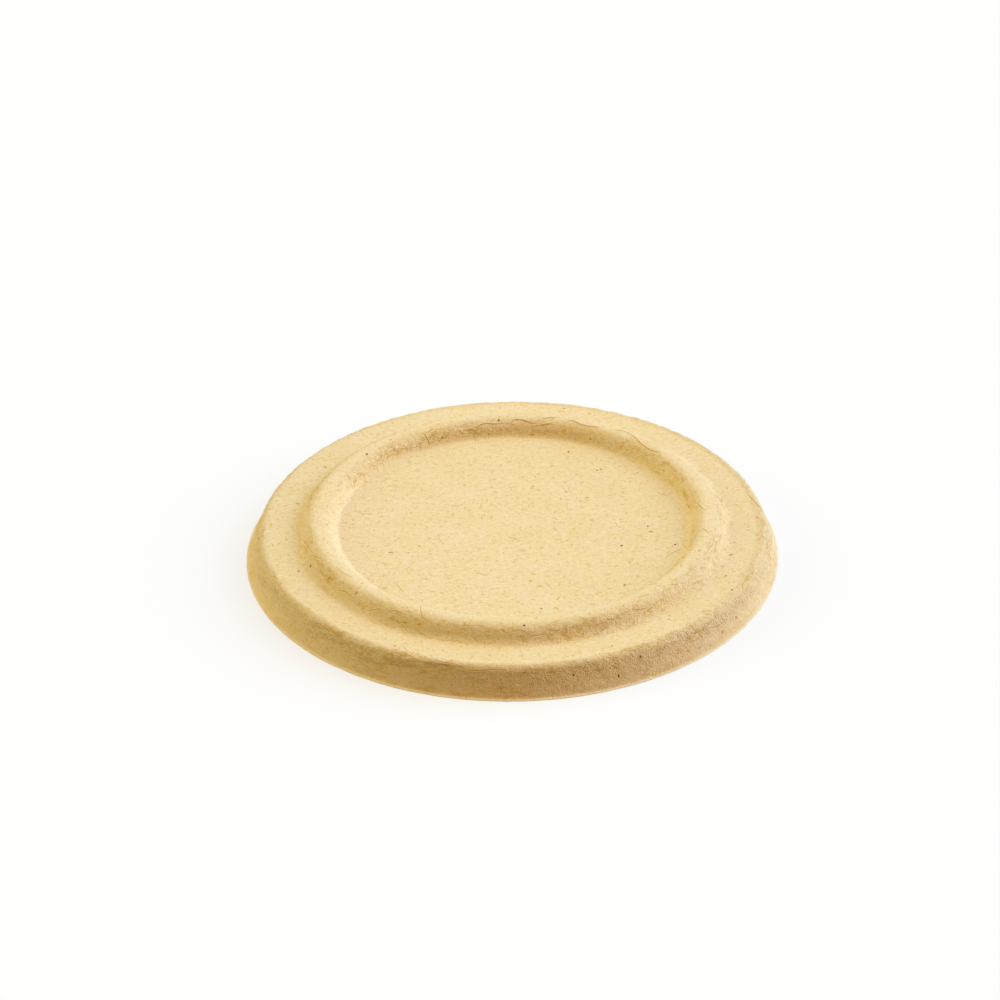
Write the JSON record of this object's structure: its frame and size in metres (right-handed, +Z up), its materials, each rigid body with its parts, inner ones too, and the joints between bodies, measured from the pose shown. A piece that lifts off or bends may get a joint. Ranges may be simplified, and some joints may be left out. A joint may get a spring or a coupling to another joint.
{
  "type": "soup cup lid",
  "caption": "Round pressed plant-fibre lid for a takeaway soup cup, with a raised stiffening ring, a flat rim seat and a flared skirt.",
  "frame": {"origin": "centre of the plane that the skirt's foot stands on, which is the bottom centre of the bounding box", "axes": "+Z up along the axis of revolution, from the foot towards the top; the lid is round, so X and Y are alike"},
  "size_m": [0.1216, 0.1216, 0.0105],
  "materials": {
    "natural_fibre": "unbleached pressed plant fibre, matte, fine flecks and short fibres in the surface"
  },
  "bodies": {
    "root": {"lid": "natural_fibre"}
  },
  "joints": []
}
